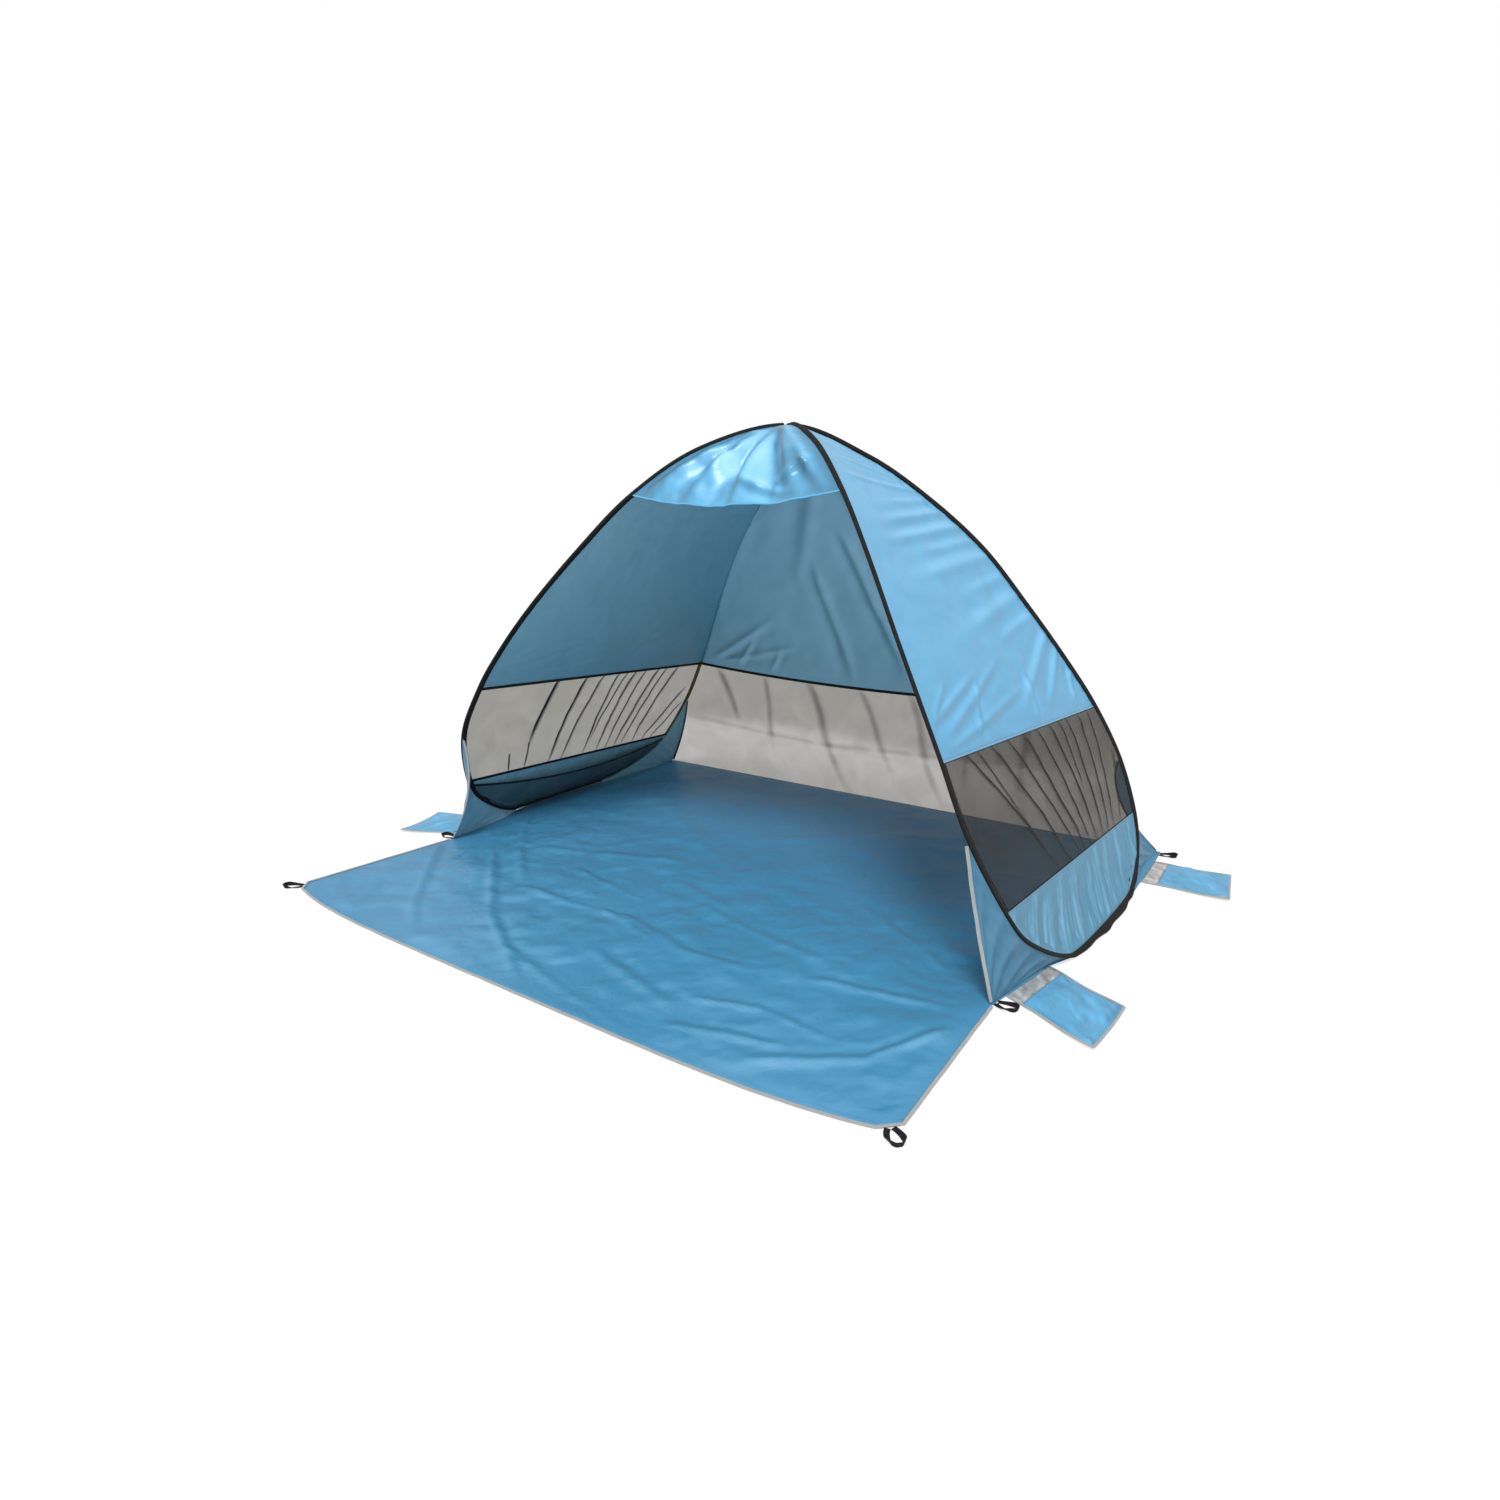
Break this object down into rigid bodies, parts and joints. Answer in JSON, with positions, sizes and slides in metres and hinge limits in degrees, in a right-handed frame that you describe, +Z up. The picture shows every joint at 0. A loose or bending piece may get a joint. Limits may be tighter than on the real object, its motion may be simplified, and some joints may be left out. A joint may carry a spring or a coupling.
{
  "type": "beach tent",
  "caption": "Pop-up beach tent with two sprung petal hoops, net windows, a fold-up front apron, sand pockets and peg loops.",
  "frame": {"origin": "centre of the main floor's underside, under the apex, on the ground", "axes": "+Z up; -Y out of the open front; +X to the right seen from the front"},
  "size_m": [2.471, 1.7436, 1.2559],
  "materials": {
    "sky_cloth": "silver-coated sky blue polyester taffeta, satin",
    "floor_cloth": "coated blue polyester groundsheet, satin",
    "net": "fine black polyester mosquito net, see-through",
    "webbing": "black woven polyester webbing and tape",
    "piping": "light grey folded binding tape",
    "silver_cloth": "silver-coated back of the polyester, crinkled",
    "spring_steel": "galvanised spring steel wire"
  },
  "bodies": {
    "tent": {"apex_tie": "webbing", "back_upper_wall": "sky_cloth", "back_window": "net", "back_window_tape": "webbing", "floor_sheet": "floor_cloth", "front_hood": "sky_cloth", "left_back_corner_piping": "webbing", "left_front_gusset": "sky_cloth", "left_gusset_piping": "piping", "left_hoop_sleeve": "webbing", "left_lower_wall": "sky_cloth", "left_net_pocket": "net", "left_net_pocket_hem": "webbing", "left_rear_gusset": "sky_cloth", "left_upper_wall": "sky_cloth", "left_window": "net", "left_window_bottom_tape": "webbing", "left_window_top_tape": "webbing", "right_back_corner_piping": "webbing", "right_front_gusset": "sky_cloth", "right_gusset_piping": "piping", "right_hoop_sleeve": "webbing", "right_lower_wall": "sky_cloth", "right_rear_gusset": "sky_cloth", "right_upper_wall": "sky_cloth", "right_window": "net", "right_window_bottom_tape": "webbing", "right_window_top_tape": "webbing", "spring_wire": "spring_steel", "wire_ferrule": "spring_steel"},
    "left_front_pocket": {"left_front_pocket_back": "silver_cloth", "left_front_pocket_top": "sky_cloth", "left_front_pocket_binding": "piping"},
    "left_rear_pocket": {"left_rear_pocket_back": "silver_cloth", "left_rear_pocket_top": "sky_cloth", "left_rear_pocket_binding": "piping"},
    "left_sill_loop": {"left_sill_peg_loop": "webbing"},
    "left_back_loop": {"left_back_peg_loop": "webbing"},
    "left_apron_loop": {"left_apron_peg_loop": "webbing"},
    "right_front_pocket": {"right_front_pocket_back": "silver_cloth", "right_front_pocket_top": "sky_cloth", "right_front_pocket_binding": "piping"},
    "right_rear_pocket": {"right_rear_pocket_back": "silver_cloth", "right_rear_pocket_top": "sky_cloth", "right_rear_pocket_binding": "piping"},
    "right_sill_loop": {"right_sill_peg_loop": "webbing"},
    "right_back_loop": {"right_back_peg_loop": "webbing"},
    "right_apron_loop": {"right_apron_peg_loop": "webbing"},
    "apron": {"apron_sheet": "floor_cloth", "apron_binding": "piping"}
  },
  "joints": [
    {"name": "apron_fold", "type": "hinge", "parent": "tent", "child": "apron", "pos_m": [0, -0.6, 0.0016], "axis": [-1, 0, 0], "range_deg": [0, 85]},
    {"name": "left_front_pocket_swing", "type": "hinge", "parent": "tent", "child": "left_front_pocket", "pos_m": [-0.94613, -0.44305, 0.0015], "axis": [-0.1649, 0.9863, 0], "range_deg": [0, 60]},
    {"name": "left_rear_pocket_swing", "type": "hinge", "parent": "tent", "child": "left_rear_pocket", "pos_m": [-1.00769, 0.40501, 0.0015], "axis": [0.022, 0.9998, 0], "range_deg": [0, 75]},
    {"name": "left_sill_loop_swing", "type": "hinge", "parent": "tent", "child": "left_sill_loop", "pos_m": [-0.92373, -0.57705, 0.0018], "axis": [-0.1649, 0.9863, 0], "range_deg": [0, 90]},
    {"name": "left_back_loop_swing", "type": "hinge", "parent": "tent", "child": "left_back_loop", "pos_m": [-1.00154, 0.57702, 0.0018], "axis": [0.0635, 0.998, 0], "range_deg": [0, 90]},
    {"name": "left_apron_loop_swing", "type": "hinge", "parent": "apron", "child": "left_apron_loop", "pos_m": [-0.93137, -1.07867, 0.0018], "axis": [-0.7071, 0.7071, 0], "range_deg": [0, 90]},
    {"name": "right_front_pocket_swing", "type": "hinge", "parent": "tent", "child": "right_front_pocket", "pos_m": [0.94613, -0.44305, 0.0015], "axis": [-0.1649, -0.9863, 0], "range_deg": [0, 60]},
    {"name": "right_rear_pocket_swing", "type": "hinge", "parent": "tent", "child": "right_rear_pocket", "pos_m": [1.00769, 0.40501, 0.0015], "axis": [0.022, -0.9998, 0], "range_deg": [0, 75]},
    {"name": "right_sill_loop_swing", "type": "hinge", "parent": "tent", "child": "right_sill_loop", "pos_m": [0.92373, -0.57705, 0.0018], "axis": [-0.1649, -0.9863, 0], "range_deg": [0, 90]},
    {"name": "right_back_loop_swing", "type": "hinge", "parent": "tent", "child": "right_back_loop", "pos_m": [1.00154, 0.57702, 0.0018], "axis": [0.0635, -0.998, 0], "range_deg": [0, 90]},
    {"name": "right_apron_loop_swing", "type": "hinge", "parent": "apron", "child": "right_apron_loop", "pos_m": [0.93137, -1.07867, 0.0018], "axis": [-0.7071, -0.7071, 0], "range_deg": [0, 90]}
  ]
}
